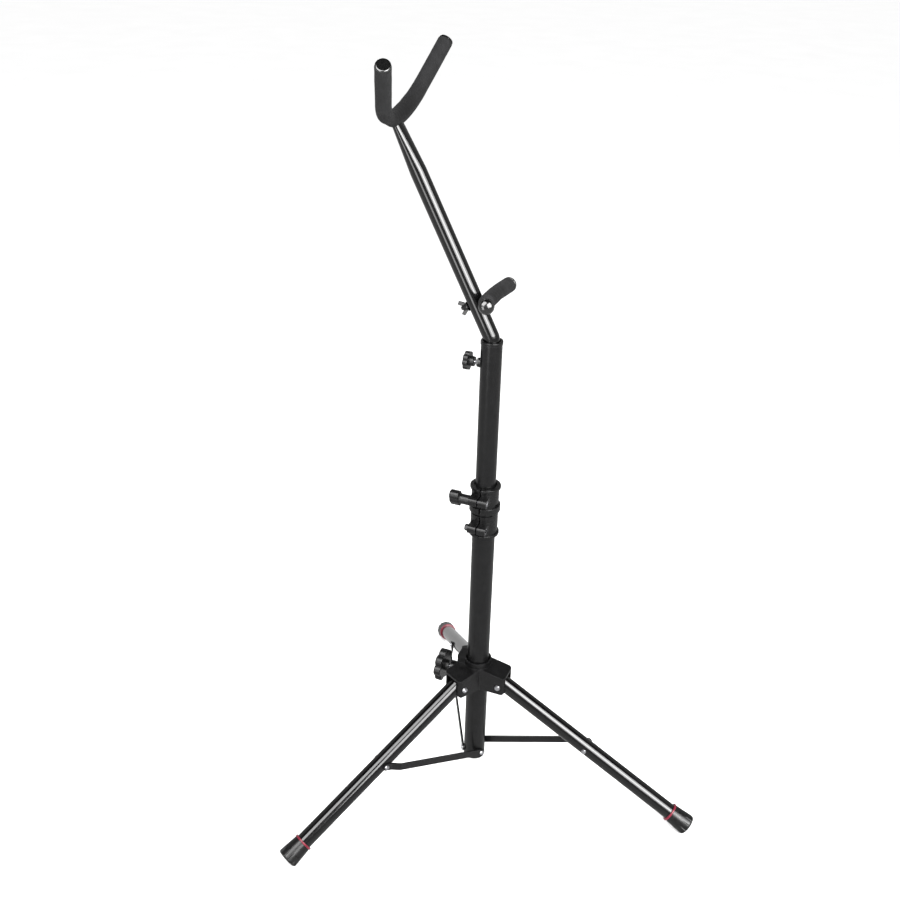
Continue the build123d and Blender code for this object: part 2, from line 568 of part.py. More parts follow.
def leg_rivet(azimuth):
    """Cross rivet for the brace: domed head on the clockwise side, flush on the other."""
    with BuildPart() as rivet:
        with BuildSketch(leg_side(azimuth).offset(LEG_R - LEG_RIVET_SINK)):
            with Locations((BRACE_ON_LEG, 0)):
                Circle(BRACE_HOLE_R)
        extrude(amount=2 * (LEG_RIVET_SINK - LEG_R))
        with BuildSketch(leg_side(azimuth).offset(LEG_R)):
            with Locations((BRACE_ON_LEG, 0)):
                Circle(UPPER_RIVET_HEAD_R)
        extrude(amount=LEG_RIVET_HEAD, taper=RIVET_TAPER)
        with BuildSketch(leg_side(azimuth).offset(LEG_R - LEG_RIVET_SINK)):
            with Locations((BRACE_ON_LEG, 0)):
                Circle(BRACE_HOLE_R)
        extrude(amount=2 * LEG_RIVET_SINK)
    return rivet


# ---------------------------------------------------------------- braces
JOG_LENGTH, JOG_TO_RIVET = 16.0, 12.0
JOG_END = BRACE_LENGTH - JOG_TO_RIVET
JOG_START = JOG_END - JOG_LENGTH


def brace_bar(azimuth):
    """Flat bar with round ends, set over near the leg so that it lies against it."""
    overhang = BRACE_WIDTH
    with BuildPart() as bar:
        with BuildSketch(brace_plan(azimuth)):
            Polygon(
                (-overhang, BRACE_INNER), (JOG_START, BRACE_INNER), (JOG_END, BRACE_AT_LEG),
                (BRACE_LENGTH + overhang, BRACE_AT_LEG),
                (BRACE_LENGTH + overhang, BRACE_AT_LEG + BRACE_THICKNESS),
                (JOG_END, BRACE_AT_LEG + BRACE_THICKNESS), (JOG_START, BRACE_OUTER),
                (-overhang, BRACE_OUTER), align=None,
            )
        extrude(amount=BRACE_WIDTH, both=True)
        with BuildSketch(brace_side(azimuth)):
            with Locations((BRACE_LENGTH / 2, 0)):
                SlotCenterToCenter(BRACE_LENGTH, BRACE_WIDTH)
        extrude(amount=-BRACE_OUTER - 1, mode=Mode.INTERSECT)
        with BuildSketch(brace_side(azimuth)):
            Circle(BRACE_HOLE_R + RUNNING)
            with Locations((BRACE_LENGTH, 0)):
                Circle(BRACE_HOLE_R)
        extrude(amount=-BRACE_OUTER - 1, mode=Mode.SUBTRACT)
    return bar


def brace_rivet(azimuth):
    """Head and shank of the brace's joint with the leg, on the bar's outer face."""
    with BuildPart() as rivet:
        with BuildSketch(brace_side(azimuth).offset(-BRACE_AT_LEG)):
            with Locations((BRACE_LENGTH, 0)):
                Circle(BRACE_HOLE_R)
        extrude(amount=-BRACE_THICKNESS - LEG_RIVET_SINK)
        with BuildSketch(brace_side(azimuth).offset(-BRACE_AT_LEG - BRACE_THICKNESS)):
            with Locations((BRACE_LENGTH, 0)):
                Circle(UPPER_RIVET_HEAD_R)
        extrude(amount=-LEG_RIVET_HEAD, taper=RIVET_TAPER)
    return rivet


LEG_PIECES = {
    "leg_tube": leg_tube, "leg_top_plug": leg_top_plug, "leg_foot": leg_foot, "leg_ring": leg_ring,
    "leg_rivet": leg_rivet, "brace_bar": brace_bar, "brace_rivet": brace_rivet,
}
for number, azimuth in enumerate(LEG_AZIMUTHS, start=1):
    for name, make in LEG_PIECES.items():
        finish(make(azimuth), f"{name}_{number}")

# ---------------------------------------------------------------- mast
MAST_FOOT_HEIGHT = 20.0
CAP_R, CAP_SKIRT, CAP_ROUND = 17.4, 5.5, 1.2
CAP_MOUTH, CAP_MOUTH_DEPTH = 1.6, 3.0  # funnel round the rod at the cap's top
SCREW_BOSS_R, SCREW_BOSS_END = 6.3, 22.0
BOSS_SEAT_R, BOSS_SEAT_END = 7.7, 18.9

with BuildPart() as mast_tube:
    with BuildSketch(level(MAST_BOTTOM)):
        Circle(MAST_R)
        Circle(MAST_R - MAST_WALL, mode=Mode.SUBTRACT)
    extrude(amount=MAST_TOP - MAST_BOTTOM)
    with BuildSketch(facing_back(THUMB_SCREW_HEIGHT)):
        Circle(M6_R + GAP)
    extrude(amount=MAST_R + 1, mode=Mode.SUBTRACT)
finish(mast_tube, "mast_tube")

with BuildPart() as mast_top_cap:
    with BuildSketch(upright(0)):
        Polygon(
            (ROD_R + RUNNING, MAST_TOP - CAP_SKIRT), (MAST_R - MAST_WALL, MAST_TOP - CAP_SKIRT),
            (MAST_R - MAST_WALL, MAST_TOP), (CAP_R, MAST_TOP), (CAP_R, MAST_CAP_TOP),
            (ROD_R + CAP_MOUTH, MAST_CAP_TOP), (ROD_R + RUNNING, MAST_CAP_TOP - CAP_MOUTH_DEPTH),
            align=None,
        )
    revolve(axis=Axis((COLUMN_X, 0, 0), (0, 0, 1)))
    fillet(mast_top_cap.edges().group_by(Axis.Z)[-1].sort_by(SortBy.LENGTH)[-1], radius=CAP_ROUND)
finish(mast_top_cap, "mast_top_cap")

with BuildPart() as mast_foot_bush:
    with BuildSketch(level(MAST_BOTTOM)):
        Circle(COLUMN_R - COLUMN_WALL - RUNNING)
        Circle(MAST_R, mode=Mode.SUBTRACT)
    extrude(amount=MAST_FOOT_HEIGHT)
finish(mast_foot_bush, "mast_foot_bush")

with BuildPart() as mast_screw_boss:
    with BuildSketch(facing_back(THUMB_SCREW_HEIGHT)):
        RegularPolygon(SCREW_BOSS_R, 6, major_radius=False)
    extrude(amount=SCREW_BOSS_END)
    with BuildSketch(facing_back(THUMB_SCREW_HEIGHT)):
        Circle(BOSS_SEAT_R)
    extrude(amount=BOSS_SEAT_END)
    with BuildSketch(level(THUMB_SCREW_HEIGHT)):
        Circle(MAST_R)
    extrude(amount=2 * SCREW_BOSS_R, both=True, mode=Mode.SUBTRACT)
    with BuildSketch(facing_back(THUMB_SCREW_HEIGHT)):
        Circle(M6_R + RUNNING)
    extrude(amount=SCREW_BOSS_END, mode=Mode.SUBTRACT)
finish(mast_screw_boss, "mast_screw_boss")

THUMB_R, THUMB_STEP_R = 15.0, 7.8
THUMB_STEP_START, THUMB_BACK, THUMB_FACE = 26.5, 34.5, 42.5
THUMB_ROUND, THUMB_SKIN = 1.2, 3.0
with BuildPart() as thumb_screw_grip:
    with BuildSketch(facing_back(THUMB_SCREW_HEIGHT).offset(THUMB_BACK)):
        lobed_outline(THUMB_R, 8)
    extrude(amount=THUMB_FACE - THUMB_BACK)
    fillet(thumb_screw_grip.faces().sort_by(Axis.X)[0].edges(), radius=THUMB_ROUND)
    with BuildSketch(facing_back(THUMB_SCREW_HEIGHT).offset(THUMB_STEP_START)):
        Circle(THUMB_STEP_R)
    extrude(amount=THUMB_BACK - THUMB_STEP_START)
    fillet(thumb_screw_grip.faces().sort_by(Axis.X)[-1].edges(), radius=THUMB_ROUND)
    with BuildSketch(facing_back(THUMB_SCREW_HEIGHT)):
        Circle(M6_R)
    extrude(amount=THUMB_FACE - THUMB_SKIN, mode=Mode.SUBTRACT)
finish(thumb_screw_grip, "thumb_screw_grip")

with BuildPart() as thumb_screw_stud:
    with BuildSketch(facing_back(THUMB_SCREW_HEIGHT).offset(ROD_R + GAP)):
        Circle(M6_R)
    extrude(amount=THUMB_FACE - THUMB_SKIN - ROD_R - GAP)
finish(thumb_screw_stud, "thumb_screw_stud")

# ---------------------------------------------------------------- yoke bar
def yoke_path():
    """Arc across the rod's end with a straight arm on each side."""
    turn = YOKE_ARC_HALF_ANGLE
    with BuildLine(YOKE_PLANE) as path:
        arc = CenterArc((0, YOKE_ARC_R), YOKE_ARC_R, 270 - turn, 2 * turn)
        PolarLine(arc @ 0, YOKE_ARM, 180 - turn)
        PolarLine(arc @ 1, YOKE_ARM, turn)
    return path.wire()


def bar_along(wire, radius, hole=0.0):
    """Round bar or sleeve swept along a wire."""
    with BuildPart() as bar:
        start = Plane(origin=wire @ 0, z_dir=wire % 0)
        with BuildSketch(start):
            Circle(radius)
            if hole:
                Circle(hole, mode=Mode.SUBTRACT)
        sweep(path=wire)
    return bar


yoke_wire = yoke_path()
yoke_bar = bar_along(yoke_wire, YOKE_BAR_R)
finish(yoke_bar, "yoke_bar")

# ---------------------------------------------------------------- neck rod
BEND_TANGENT = ROD_BEND_R * tan(radians(ROD_LEAN / 2))
FLAT_START = ROD_REACH - ROD_FLAT_LENGTH
FLAT_WIDE_R, FLAT_THIN_R = 13.0, 7.4
FLAT_HOLLOW_WIDE_R, FLAT_HOLLOW_THIN_R, FLAT_PRESSED = 8.5, 3.0, 22.0
ROD_END = ROD_REACH - YOKE_BAR_R / 2  # the rod's end is coped over the yoke bar
FORK_BOLT_R = M6_R

# The rod's upper end is drawn out flat, and solid where it is pressed shut below the yoke.
with BuildPart() as neck_rod:
    with BuildLine() as rod_path:
        rise = Line((COLUMN_X, 0, ROD_BOTTOM), (COLUMN_X, 0, ROD_CORNER_HEIGHT - BEND_TANGENT))
        bend = TangentArc(rise @ 1, rod_point(BEND_TANGENT), tangent=(0, 0, 1))
        Line(bend @ 1, rod_point(FLAT_START))
    with BuildSketch(level(ROD_BOTTOM)):
        Circle(ROD_R)
        Circle(ROD_R - ROD_WALL, mode=Mode.SUBTRACT)
    sweep(path=rod_path.wire())
    with BuildSketch(across_rod(FLAT_START)):
        Circle(ROD_R)
    with BuildSketch(across_rod(ROD_END)):
        Ellipse(FLAT_WIDE_R, FLAT_THIN_R)
    loft()
    with BuildSketch(across_rod(FLAT_START)):
        Circle(ROD_R - ROD_WALL)
    with BuildSketch(across_rod(ROD_END - FLAT_PRESSED)):
        Ellipse(FLAT_HOLLOW_WIDE_R, FLAT_HOLLOW_THIN_R)
    loft(mode=Mode.SUBTRACT)
    with BuildSketch(along_fork_bolt(0)):
        Circle(FORK_BOLT_R + RUNNING)
    extrude(amount=ROD_R + 1, both=True, mode=Mode.SUBTRACT)
    add(yoke_bar.part, mode=Mode.SUBTRACT)
finish(neck_rod, "neck_rod")

with BuildPart() as rod_end_plug:
    with BuildSketch(level(ROD_BOTTOM)):
        Circle(ROD_R - ROD_WALL)
    extrude(amount=BASE_PLUG_HEIGHT)
    with BuildSketch(level(ROD_BOTTOM)):
        Circle(ROD_R)
    extrude(amount=-PLUG_FLANGE)
finish(rod_end_plug, "rod_end_plug")

# ---------------------------------------------------------------- yoke padding
with BuildPart() as yoke_foam:
    add(bar_along(yoke_wire, YOKE_FOAM_R, YOKE_BAR_R).part)
    with BuildSketch(across_rod(FLAT_START)):
        Circle(ROD_R)
    with BuildSketch(across_rod(ROD_END)):
        Ellipse(FLAT_WIDE_R, FLAT_THIN_R)
    loft(mode=Mode.SUBTRACT)
finish(yoke_foam, "yoke_foam")


CAP_DOME = 0.85  # how much of a cap's height is rounded
YOKE_CAP_R, YOKE_CAP_HEIGHT = 10.9, 3.0
FORK_CAP_R, FORK_CAP_HEIGHT = 10.4, 8.5


def end_cap(point, outward, radius, height):
    """Low domed cap on the end of a padded arm."""
    with BuildPart() as cap:
        with BuildSketch(Plane(origin=point, z_dir=outward)):
            Circle(radius)
        extrude(amount=height)
        fillet(cap.faces().sort_by(Axis(point, outward))[-1].edges(), radius=CAP_DOME * height)
    return cap


for name, end in (("near", 0), ("far", 1)):
    outward = (yoke_wire % end) * (2 * end - 1)
    finish(end_cap(yoke_wire @ end, outward, YOKE_CAP_R, YOKE_CAP_HEIGHT), f"yoke_cap_{name}")


# ---------------------------------------------------------------- fork
def fork_path():
    """Shallow C that opens forwards: flat middle, an arc and a short arm on each side."""
    turn = FORK_ARC_ANGLE
    with BuildLine(FORK_PLANE) as path:
        flat = Line((-FORK_FLAT, FORK_OFFSET), (FORK_FLAT, FORK_OFFSET))
        right = CenterArc((FORK_FLAT, FORK_OFFSET + FORK_ARC_R), FORK_ARC_R, 270, turn)
        left = CenterArc((-FORK_FLAT, FORK_OFFSET + FORK_ARC_R), FORK_ARC_R, 270 - turn, turn)
        PolarLine(right @ 1, FORK_ARM, turn)
        PolarLine(left @ 0, FORK_ARM, 180 - turn)
    return path.wire()


SADDLE_BACK, SADDLE_FRONT, SADDLE_R = ROD_R + GAP, 22.0, 7.0
POCKET_PLAY = 0.2  # between the foam and what is let into it
WASHER_R, WASHER_THICKNESS = 7.5, 1.4
BOLT_HEAD_R, BOLT_HEAD = 5.0, 3.0
WING_FACE = ROD_R + 2.0
BOLT_TAIL = 25.0

fork_wire = fork_path()
fork_bar = bar_along(fork_wire, FORK_BAR_R)
with BuildPart() as fork_bar_drilled:
    add(fork_bar.part)
    with BuildSketch(along_fork_bolt(FORK_OFFSET - FORK_BAR_R - 1)):
        Circle(FORK_BOLT_R)
    extrude(amount=2 * FORK_BAR_R + 2, mode=Mode.SUBTRACT)
finish(fork_bar_drilled, "fork_bar")

with BuildPart() as fork_foam:
    add(bar_along(fork_wire, FORK_FOAM_R, FORK_BAR_R).part)
    with BuildSketch(along_fork_bolt(FORK_OFFSET - FORK_FOAM_R - 1)):
        Circle(SADDLE_R + POCKET_PLAY)
    extrude(amount=FORK_FOAM_R + 1, mode=Mode.SUBTRACT)
    with BuildSketch(along_fork_bolt(FORK_OFFSET)):
        Circle(BOLT_HEAD_R + POCKET_PLAY)
    extrude(amount=FORK_BAR_R + BOLT_HEAD + POCKET_PLAY, mode=Mode.SUBTRACT)
finish(fork_foam, "fork_foam")

with BuildPart() as fork_saddle:
    with BuildSketch(along_fork_bolt(SADDLE_BACK)):
        Circle(SADDLE_R)
    extrude(amount=SADDLE_FRONT - SADDLE_BACK)
    add(bar_along(fork_wire, FORK_BAR_R).part, mode=Mode.SUBTRACT)
    with BuildSketch(along_fork_bolt(0)):
        Circle(FORK_BOLT_R)
    extrude(amount=SADDLE_FRONT, mode=Mode.SUBTRACT)
finish(fork_saddle, "fork_saddle")

with BuildPart() as fork_bolt:
    with BuildSketch(along_fork_bolt(-BOLT_TAIL)):
        Circle(FORK_BOLT_R)
    extrude(amount=BOLT_TAIL + FORK_OFFSET + FORK_BAR_R + BOLT_HEAD / 2)
    with BuildSketch(along_fork_bolt(FORK_OFFSET + FORK_BAR_R)):
        Circle(BOLT_HEAD_R)
    extrude(amount=BOLT_HEAD)
finish(fork_bolt, "fork_bolt")

for name, end in (("near", 0), ("far", 1)):
    outward = (fork_wire % end) * (2 * end - 1)
    finish(end_cap(fork_wire @ end, outward, FORK_CAP_R, FORK_CAP_HEIGHT), f"fork_cap_{name}")

# Wing nut: a conical barrel on the bolt's tail with two wings raised in a V.
WING_BARREL, WING_BARREL_R, WING_BARREL_TAPER = 8.0, 5.5, 8
WING_SPAN, WING_RISE, WING_THICKNESS = 12.0, 14.0, 2.4
WING_ROOT_IN, WING_ROOT_OUT, WING_TIP = 3.0, 5.0, 4.0
with BuildPart() as wing_nut:
    with BuildSketch(along_fork_bolt(-WING_FACE)):
        Circle(WING_BARREL_R)
    extrude(amount=-WING_BARREL, taper=WING_BARREL_TAPER)
    with BuildSketch(WING_PLANE):
        for side in (-1, 1):
            Polygon(
                (side * WING_ROOT_IN, -WING_FACE - GAP), (side * WING_ROOT_OUT, -WING_FACE - GAP),
                (side * WING_SPAN, -WING_FACE - WING_RISE + WING_TIP),
                (side * (WING_SPAN - WING_TIP), -WING_FACE - WING_RISE),
                (side * WING_ROOT_IN, -WING_FACE - WING_BARREL), align=None,
            )
    extrude(amount=WING_THICKNESS / 2, both=True)
    with BuildSketch(along_fork_bolt(-WING_FACE)):
        Circle(FORK_BOLT_R + RUNNING)
    extrude(amount=-WING_RISE, mode=Mode.SUBTRACT)
finish(wing_nut, "wing_nut")

with BuildPart() as fork_washer:
    with BuildSketch(along_fork_bolt(-WING_FACE + POCKET_PLAY)):
        Circle(WASHER_R)
        Circle(FORK_BOLT_R, mode=Mode.SUBTRACT)
    extrude(amount=WASHER_THICKNESS)
finish(fork_washer, "fork_washer")
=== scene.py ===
import bpy
import json
from math import cos, exp, pi, radians, sin
from mathutils import Matrix, Vector, noise


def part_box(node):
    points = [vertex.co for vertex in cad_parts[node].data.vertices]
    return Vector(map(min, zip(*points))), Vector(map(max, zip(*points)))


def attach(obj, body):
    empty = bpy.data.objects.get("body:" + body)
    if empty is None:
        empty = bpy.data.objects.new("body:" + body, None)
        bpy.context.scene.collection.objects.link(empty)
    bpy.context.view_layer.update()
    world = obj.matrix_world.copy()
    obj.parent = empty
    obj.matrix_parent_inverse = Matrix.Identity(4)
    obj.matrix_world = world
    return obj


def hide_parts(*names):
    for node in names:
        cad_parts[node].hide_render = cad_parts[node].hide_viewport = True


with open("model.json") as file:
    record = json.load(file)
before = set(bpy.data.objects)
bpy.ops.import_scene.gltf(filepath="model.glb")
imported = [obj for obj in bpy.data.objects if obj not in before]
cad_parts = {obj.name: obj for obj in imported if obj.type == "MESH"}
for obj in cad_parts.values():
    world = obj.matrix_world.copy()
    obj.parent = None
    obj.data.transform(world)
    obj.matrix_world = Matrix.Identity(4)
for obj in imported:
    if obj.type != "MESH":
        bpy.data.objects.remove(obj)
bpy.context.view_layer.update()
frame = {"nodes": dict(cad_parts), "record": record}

# Everything is in metres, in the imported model's own frame: +Z up, floor at z = 0.
COLUMN = Vector((-0.100, 0.0, 0.0))  # the column's axis on the floor

# ------------------------------------------------------------------ head of the stand
# The yoke and the fork are each a U: a flat middle, an arc at each side and two straight arms.
NECK_TURN, ROD_LEAN = radians(4.4), radians(26.6)
YOKE_TILT, FORK_TILT = radians(19.1), radians(-2.4)
UP = Vector((0, 0, 1))
REARWARD = Vector((-cos(NECK_TURN), -sin(NECK_TURN), 0))  # the side the rod leans to
ACROSS = Vector((-sin(NECK_TURN), cos(NECK_TURN), 0))
ROD_UP = REARWARD * sin(ROD_LEAN) + UP * cos(ROD_LEAN)
ROD_FORWARD = UP * sin(ROD_LEAN) - REARWARD * cos(ROD_LEAN)
YOKE_UP = UP * cos(YOKE_TILT) - REARWARD * sin(YOKE_TILT)
ROD_CORNER = COLUMN + UP * 0.8605
FORK_ACROSS = ACROSS * cos(FORK_TILT) + ROD_UP * sin(FORK_TILT)
YOKE_CENTRE = ROD_CORNER + ROD_UP * 0.3492
FORK_CENTRE = ROD_CORNER + ROD_UP * 0.0597 + ROD_FORWARD * 0.0255
YOKE_RADIUS, YOKE_HALF_TURN, YOKE_ARM = 0.0995, radians(49.2), 0.0810
FORK_RADIUS, FORK_HALF_TURN, FORK_ARM, FORK_FLAT = 0.045, radians(19), 0.028, 0.018
YOKE_FOAM_R, YOKE_BORE = 0.0114, 0.006
FORK_FOAM_R, FORK_BORE = 0.0119, 0.005


# ------------------------------------------------------------------ material building
PALE_EDGE_FLATNESS = 0.86, 0.995  # paler edges, from worn paint and a painted edge highlight, are full at the first and gone at the second


class Shader:
    """One material's node tree, with short calls for what the materials here need."""

    def __init__(self, name):
        self.material = bpy.data.materials.new(name)
        self.material.use_nodes = True
        self.tree = self.material.node_tree
        self.surface = self.tree.nodes["Principled BSDF"]
        coordinates = self.tree.nodes.new("ShaderNodeTexCoord")
        self.place = coordinates.outputs["Object"]

    def set(self, **values):
        """Values for the shader's own sockets, with _ for each space in a name."""
        for socket, value in values.items():
            self.surface.inputs[socket.replace("_", " ")].default_value = value

    def finish(self, colour, roughness, normal):
        """Links what varies over the surface, and gives the finished material."""
        self.link(colour, self.surface.inputs["Base Color"])
        self.link(roughness, self.surface.inputs["Roughness"])
        self.link(normal, self.surface.inputs["Normal"])
        return self.material

    def link(self, source, target):
        self.tree.links.new(source, target)

    def noise(self, scale, detail=3.0, roughness=0.5, stretch=None):
        node = self.tree.nodes.new("ShaderNodeTexNoise")
        node.inputs["Scale"].default_value = scale
        node.inputs["Detail"].default_value = detail
        node.inputs["Roughness"].default_value = roughness
        place = self.place
        if stretch:
            mapping = self.tree.nodes.new("ShaderNodeMapping")
            mapping.inputs["Scale"].default_value = stretch
            self.link(place, mapping.inputs["Vector"])
            place = mapping.outputs["Vector"]
        self.link(place, node.inputs["Vector"])
        return node.outputs["Fac"]

    def cells(self, scale):
        node = self.tree.nodes.new("ShaderNodeTexVoronoi")
        node.inputs["Scale"].default_value = scale
        self.link(self.place, node.inputs["Vector"])
        return node.outputs["Distance"]

    def ramp(self, source, low, high, start=0.0, end=1.0):
        """low to high, as the source goes from start to end."""
        node = self.tree.nodes.new("ShaderNodeMapRange")
        node.inputs["From Min"].default_value = start
        node.inputs["From Max"].default_value = end
        node.inputs["To Min"].default_value = low
        node.inputs["To Max"].default_value = high
        self.link(source, node.inputs["Value"])
        return node.outputs["Result"]

    def colours(self, source, *stops):
        """Colour ramp through stops of (position, colour)."""
        node = self.tree.nodes.new("ShaderNodeValToRGB")
        ends = node.color_ramp.elements
        while len(ends) < len(stops):
            ends.new(0.5)  # placed below
        for element, (position, colour) in zip(ends, stops):
            element.position = position
            element.color = (*colour, 1)
        self.link(source, node.inputs["Fac"])
        return node.outputs["Color"]

    def away_from(self, point, near, far, low):
        """Rises from low, within near of a point, to 1 beyond far."""
        node = self.tree.nodes.new("ShaderNodeVectorMath")
        node.operation = "DISTANCE"
        node.inputs[1].default_value = point
        self.link(self.place, node.inputs[0])
        return self.ramp(node.outputs["Value"], low, 1.0, near, far)

    def product(self, first, second):
        node = self.tree.nodes.new("ShaderNodeMath")
        node.operation = "MULTIPLY"
        self.link(first, node.inputs[0])
        self.link(second, node.inputs[1])
        return node.outputs["Value"]

    def scaled(self, colour, factor):
        node = self.tree.nodes.new("ShaderNodeVectorMath")
        node.operation = "SCALE"
        self.link(colour, node.inputs[0])
        self.link(factor, node.inputs["Scale"])
        return node.outputs["Vector"]

    def bump(self, height, strength, distance, after=None):
        """Normal for a height map, laid over an earlier bump if there is one."""
        node = self.tree.nodes.new("ShaderNodeBump")
        node.inputs["Strength"].default_value = strength
        node.inputs["Distance"].default_value = distance
        self.link(height, node.inputs["Height"])
        if after:
            self.link(after, node.inputs["Normal"])
        return node.outputs["Normal"]

    def flatness(self, radius):
        """1 on a flat face, and less within radius of a sharp edge."""
        bevel = self.tree.nodes.new("ShaderNodeBevel")
        bevel.samples = 4
        bevel.inputs["Radius"].default_value = radius
        geometry = self.tree.nodes.new("ShaderNodeNewGeometry")
        dot = self.tree.nodes.new("ShaderNodeVectorMath")
        dot.operation = "DOT_PRODUCT"
        self.link(bevel.outputs["Normal"], dot.inputs[0])
        self.link(geometry.outputs["Normal"], dot.inputs[1])
        return dot.outputs["Value"]

    def edge_wear_and_highlight(self, colour, level, radius):
        """The colour, half mixed with a grey level near sharp edges: worn paint, and a painted
        highlight along the edges.
        """
        mix = self.tree.nodes.new("ShaderNodeMix")
        mix.data_type = "RGBA"
        wear_and_highlight = self.ramp(self.flatness(radius), 0.5, 0.0, *PALE_EDGE_FLATNESS)
        self.link(wear_and_highlight, mix.inputs["Factor"])
        self.link(colour, mix.inputs["A"])
        mix.inputs["B"].default_value = (*grey(level), 1)
        return mix.outputs["Result"]


def grey(level):
    """Neutral paint or plastic, a touch cooler than pure grey."""
    return (level, level, level * 1.04)


def gloss_black(name="gloss_black_steel", smoothest=0.10, roughest=0.20):
    """Gloss powder coat: deep black, faint orange peel and hand marks."""
    s = Shader(name)
    s.set(Coat_Weight=0.5, Coat_Roughness=0.05, IOR=1.45)
    paint = s.colours(s.noise(60, detail=5), (0.35, grey(0.0008)), (0.7, grey(0.0018)))
    hands = s.ramp(s.noise(38, detail=8, roughness=0.62), smoothest, roughest, 0.35, 0.7)
    peel = s.bump(s.noise(420, detail=1), 0.03, 0.0003)
    return s.finish(paint, hands, s.bump(s.noise(2600, detail=1), 0.012, 0.0002, peel))


def satin_black():
    """Satin powder coat: dark grey, fine dry texture, slightly polished where hands slide it."""
    s = Shader("satin_black_steel")
    s.set(IOR=1.42)
    tone = s.noise(90, detail=6, roughness=0.6)
    # Paler grey at sharp edges: worn paint, and a painted highlight along the edges.
    paint = s.edge_wear_and_highlight(s.colours(tone, (0.3, grey(0.0022)), (0.75, grey(0.0045))), 0.06, 0.0006)
    slid = s.noise(34, detail=7, roughness=0.65, stretch=(1.0, 1.0, 0.12))
    grain = s.bump(s.noise(2600, detail=3, roughness=0.6), 0.14, 0.0002)
    return s.finish(paint, s.ramp(slid, 0.20, 0.28, 0.35, 0.7),
                    s.bump(s.noise(260, detail=2), 0.05, 0.0006, grain))


def moulded_nylon():
    """Spark-textured nylon with faint flow marks, and paler grey at sharp edges for worn edges
    and a painted edge highlight.
    """
    s = Shader("black_plastic")
    s.set(IOR=1.42)
    flow = s.colours(s.noise(55, detail=6, roughness=0.65, stretch=(1.0, 1.0, 0.5)),
                     (0.3, grey(0.0025)), (0.75, grey(0.0055)))
    gloss = s.ramp(s.noise(150, detail=5), 0.20, 0.34, 0.3, 0.7)
    grain = s.bump(s.cells(1900), 0.14, 0.0003)
    return s.finish(s.edge_wear_and_highlight(flow, 0.05, 0.0005), gloss,
                    s.bump(s.noise(4200, detail=2), 0.10, 0.0002, grain))


def foam_sleeve():
    """Closed-cell foam: matte charcoal, fine open skin, mottled, with painted shade darkening it
    towards the middle of each bend.
    """
    s = Shader("foam")
    s.set(IOR=1.3, Sheen_Weight=0.03, Sheen_Roughness=0.6, Sheen_Tint=(0.6, 0.6, 0.62, 1))
    mottle = s.noise(95, detail=7, roughness=0.68)
    tone = s.colours(mottle, (0.28, grey(0.0045)), (0.52, grey(0.0075)), (0.8, grey(0.0125)))
    # Painted shade: the colour darkens towards the middle of the yoke's and the fork's bends,
    # where the bent foam shades itself.
    bends = s.product(
        s.away_from(YOKE_CENTRE + YOKE_UP * 0.020, 0.022, 0.085, 0.12),
        s.away_from(FORK_CENTRE + ROD_FORWARD * 0.012, 0.012, 0.035, 0.25))
    skin = s.bump(s.cells(1500), 0.45, 0.0006)
    fine = s.bump(s.noise(3600, detail=4, roughness=0.7), 0.4, 0.0004, skin)
    return s.finish(s.scaled(tone, bends), s.ramp(mottle, 0.78, 0.92),
                    s.bump(s.noise(210, detail=4), 0.3, 0.0012, fine))


def foot_rubber():
    """Moulded rubber with a slight bloom and scuffs from the floor."""
    s = Shader("foot_rubber")
    s.set(IOR=1.46, Coat_Weight=0.1, Coat_Roughness=0.25)
    bloom = s.colours(s.noise(80, detail=6), (0.3, grey(0.0015)), (0.8, grey(0.0040)))
    scuffs = s.ramp(s.noise(170, detail=6, roughness=0.65), 0.22, 0.40, 0.3, 0.7)
    return s.finish(bloom, scuffs, s.bump(s.noise(1500, detail=3), 0.12, 0.0003))


def red_plastic():
    """Dyed ring with slight cloudiness in the colour."""
    s = Shader("red_plastic")
    s.set(IOR=1.45, Coat_Weight=0.2, Coat_Roughness=0.12)
    dye = s.colours(s.noise(240, detail=4),
                    (0.3, (0.095, 0.004, 0.014)), (0.75, (0.17, 0.008, 0.022)))
    gloss = s.ramp(s.noise(600, detail=3), 0.28, 0.4)
    return s.finish(dye, gloss, s.bump(s.noise(1800, detail=2), 0.08, 0.0002))


def gloss_cap():
    """Injection-moulded end cap: black, shiny, with a faint flow swirl."""
    s = Shader("end_cap_plastic")
    s.set(IOR=1.6, Coat_Weight=1.0, Coat_Roughness=0.08)
    swirl = s.colours(s.noise(300, detail=4), (0.3, grey(0.0012)), (0.8, grey(0.0030)))
    gloss = s.ramp(s.noise(420, detail=4), 0.16, 0.27)
    return s.finish(swirl, gloss, s.bump(s.noise(1400, detail=2), 0.05, 0.0002))


def zinc_steel(name="zinc_steel", dark=0.50, pale=0.70):
    """Zinc plate with fine turning marks and slightly dulled patches."""
    s = Shader(name)
    s.set(Metallic=1.0)
    patches = s.noise(300, detail=5, roughness=0.6)
    plate = s.colours(patches, (0.3, grey(dark)), (0.75, grey(pale)))
    gloss = s.ramp(s.noise(900, detail=5), 0.2, 0.38, 0.3, 0.7)
    return s.finish(plate, gloss, s.bump(s.noise(3800, detail=2), 0.10, 0.0002))


# One material for each slot of the record, and two nodes with a duller finish of their slot.
MATERIALS = {
    "gloss_black_steel": gloss_black(),
    "satin_black_steel": satin_black(),
    "black_plastic": moulded_nylon(),
    "foam": foam_sleeve(),
    "foot_rubber": foot_rubber(),
    "red_plastic": red_plastic(),
    "end_cap_plastic": gloss_cap(),
    "zinc_steel": zinc_steel(),
}
NODE_MATERIALS = {
    "wing_nut": gloss_black("cast_gloss_black", 0.30, 0.42),
    "clamp_fixing_bolt": zinc_steel("black_zinc", 0.035, 0.075),
}
EDGE_RADIUS = 0.0004
EDGE_RADII = {"hub_body": 0.0009, "clamp_collar": 0.0007, "column_base_plug": 0.0006}
SHARP_ANGLE, ROUNDED_ANGLE = radians(32), radians(40)


